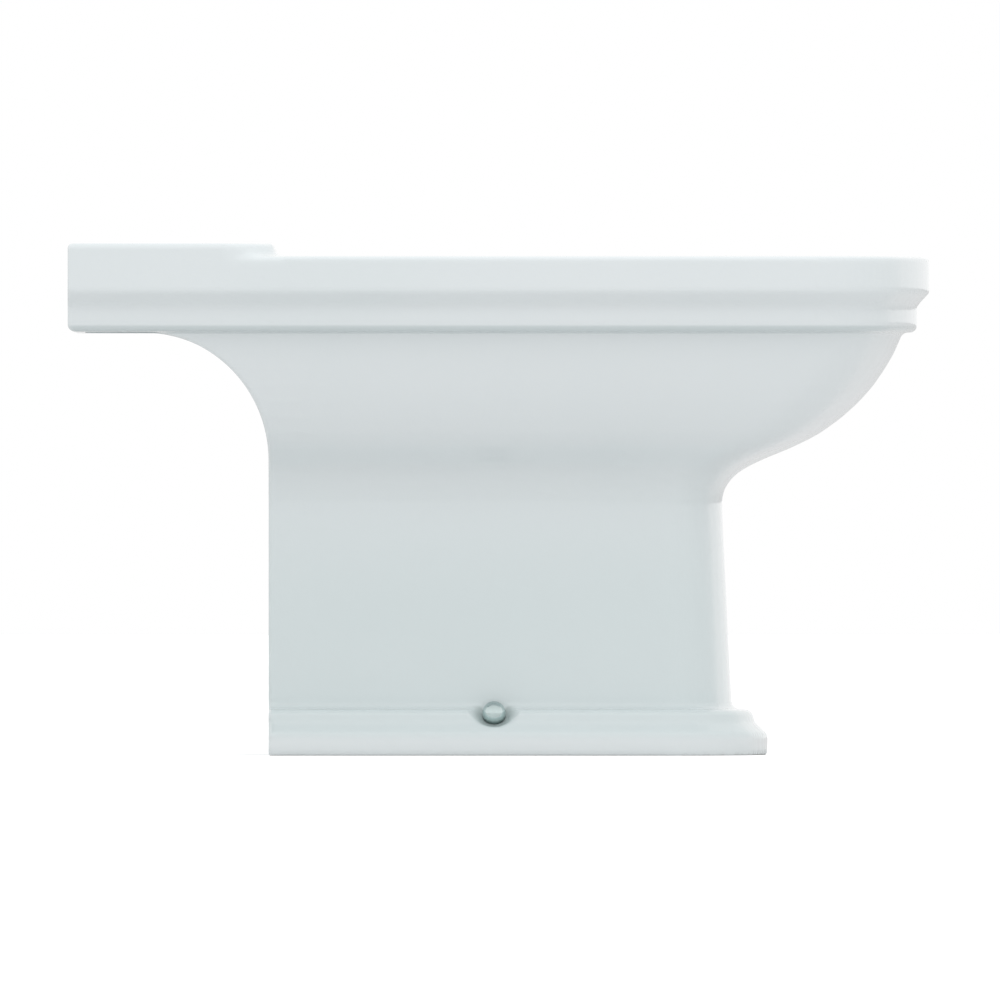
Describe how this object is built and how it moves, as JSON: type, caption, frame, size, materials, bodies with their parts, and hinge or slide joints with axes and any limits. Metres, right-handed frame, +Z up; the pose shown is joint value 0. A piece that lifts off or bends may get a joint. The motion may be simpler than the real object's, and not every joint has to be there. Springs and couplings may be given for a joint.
{
  "type": "toilet pan",
  "caption": "Floor-standing close-coupled toilet pan with stepped rim and plinth mouldings, horizontal outlet and angled floor fixings under pull-off caps.",
  "frame": {"origin": "on the floor under the middle of the pan's length, on its centre line", "axes": "+X towards the front of the bowl, +Z up, +Y towards the left-hand side of someone sitting on it"},
  "size_m": [0.6739, 0.36, 0.4],
  "materials": {
    "vitreous_china": "gloss glaze, cool white",
    "nylon": "natural nylon",
    "white_plastic": "moulded",
    "steel": "zinc plated",
    "chrome": "polished"
  },
  "bodies": {
    "pan": {"pan": "vitreous_china", "left_fixing_bracket": "nylon", "left_fixing_sleeve": "white_plastic", "left_fixing_screw": "steel", "right_fixing_bracket": "nylon", "right_fixing_sleeve": "white_plastic", "right_fixing_screw": "steel"},
    "left_cap": {"left_fixing_cap": "chrome"},
    "right_cap": {"right_fixing_cap": "chrome"}
  },
  "joints": [
    {"name": "left_cap_pull", "type": "slide", "parent": "pan", "child": "left_cap", "axis": [0, 0.7071, 0.7071], "range_m": [0, 0.025]},
    {"name": "right_cap_pull", "type": "slide", "parent": "pan", "child": "right_cap", "axis": [0, -0.7071, 0.7071], "range_m": [0, 0.025]}
  ]
}
